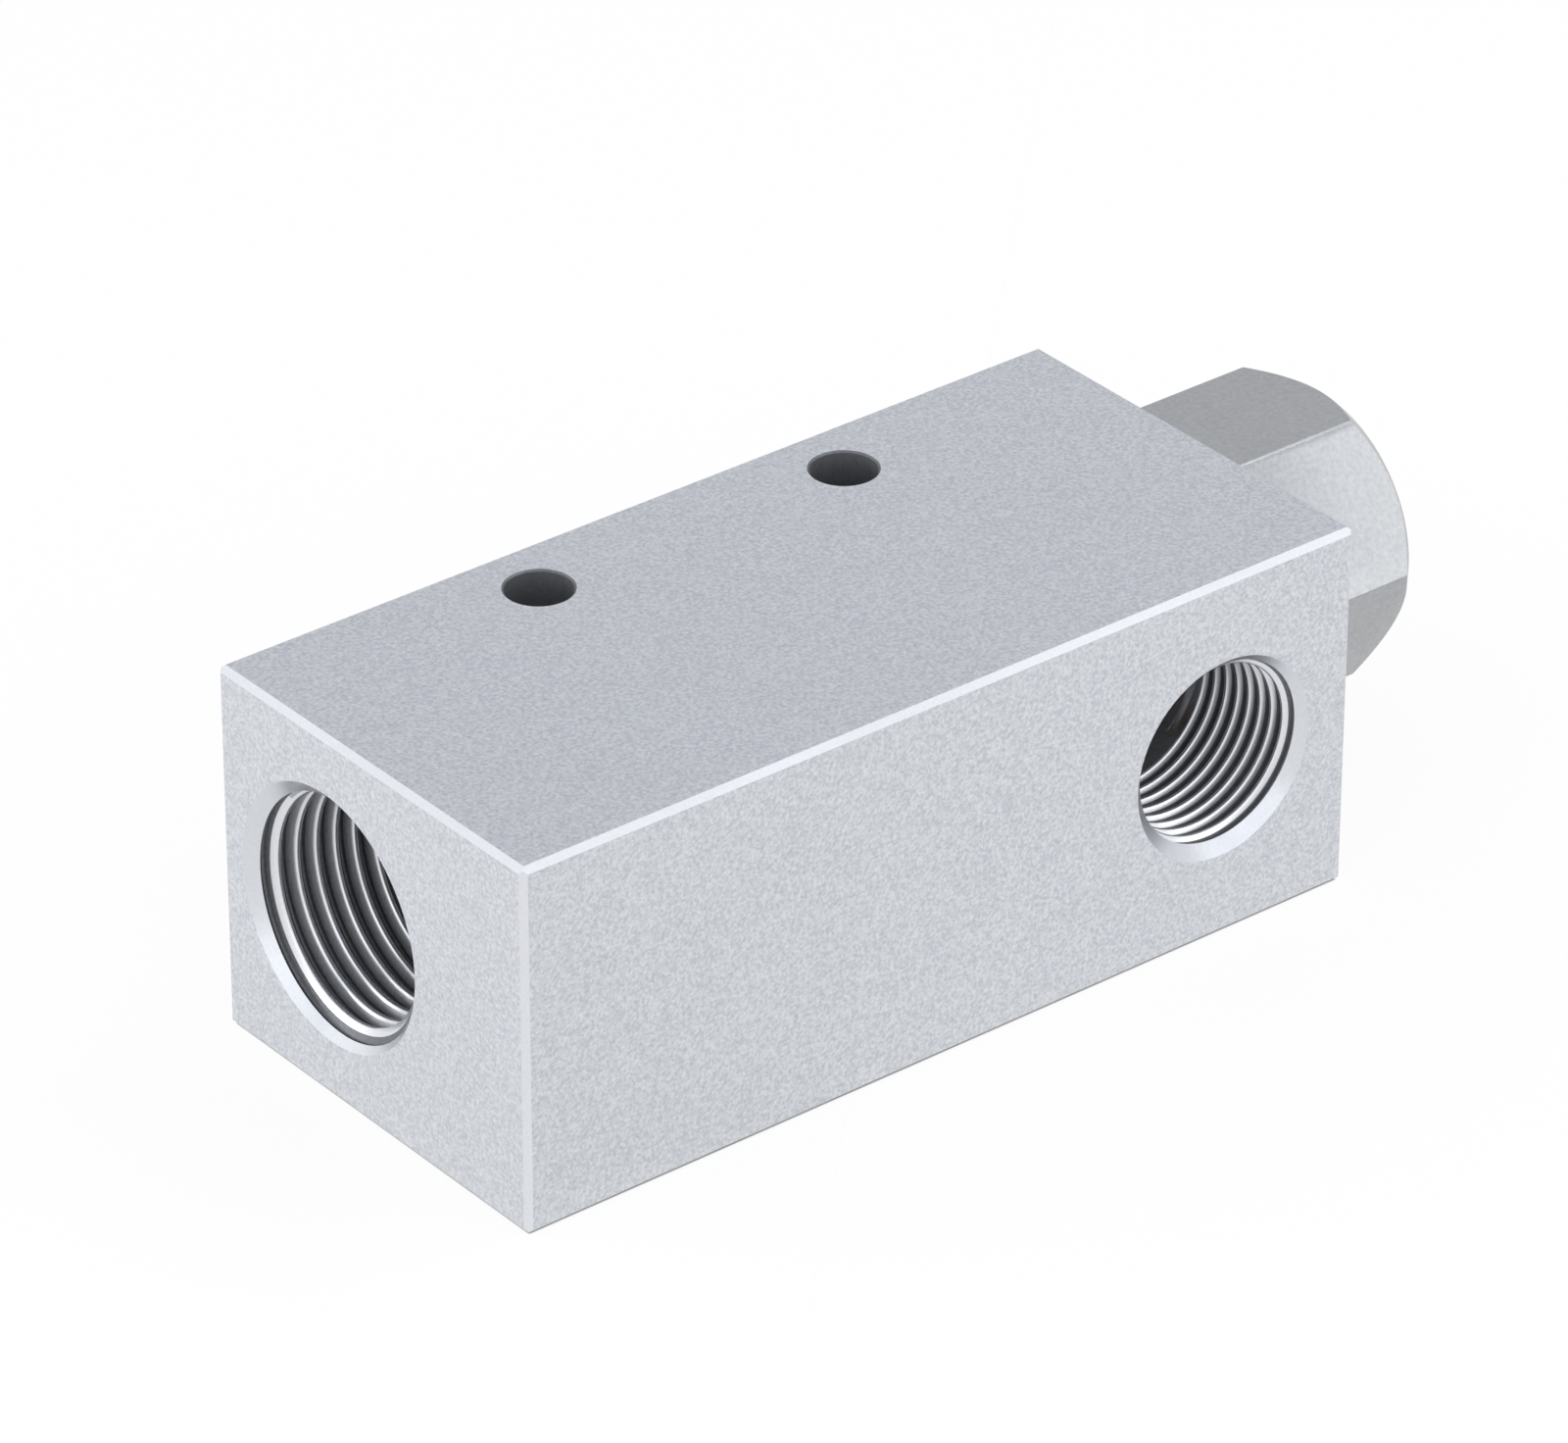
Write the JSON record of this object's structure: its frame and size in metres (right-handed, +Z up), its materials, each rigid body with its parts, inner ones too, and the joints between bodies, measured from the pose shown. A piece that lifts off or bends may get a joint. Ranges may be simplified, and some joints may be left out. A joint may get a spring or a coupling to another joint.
{
  "type": "vacuum ejector",
  "caption": "Rectangular aluminium vacuum ejector with threaded exhaust and vacuum ports, a hexagonal air inlet connector and through mounting holes.",
  "frame": {"origin": "midway between the two mounting holes, on the base of the block", "axes": "+X along the block from the exhaust port to the air inlet, +Y towards the back face that the mounting holes are near, so the vacuum port faces -Y, +Z up along the mounting holes"},
  "size_m": [0.0995, 0.038, 0.032],
  "materials": {
    "anodised_aluminium": "bead blasted and clear anodised, fine even grain",
    "turned_brass": "turned, bare",
    "nitrile_rubber": "moulded, matte black"
  },
  "bodies": {
    "root": {"body": "anodised_aluminium", "inlet_connector": "anodised_aluminium", "jet_nozzle": "turned_brass", "diffuser": "turned_brass", "connector_o_ring": "nitrile_rubber", "nozzle_o_ring": "nitrile_rubber", "diffuser_o_ring": "nitrile_rubber"}
  },
  "joints": []
}
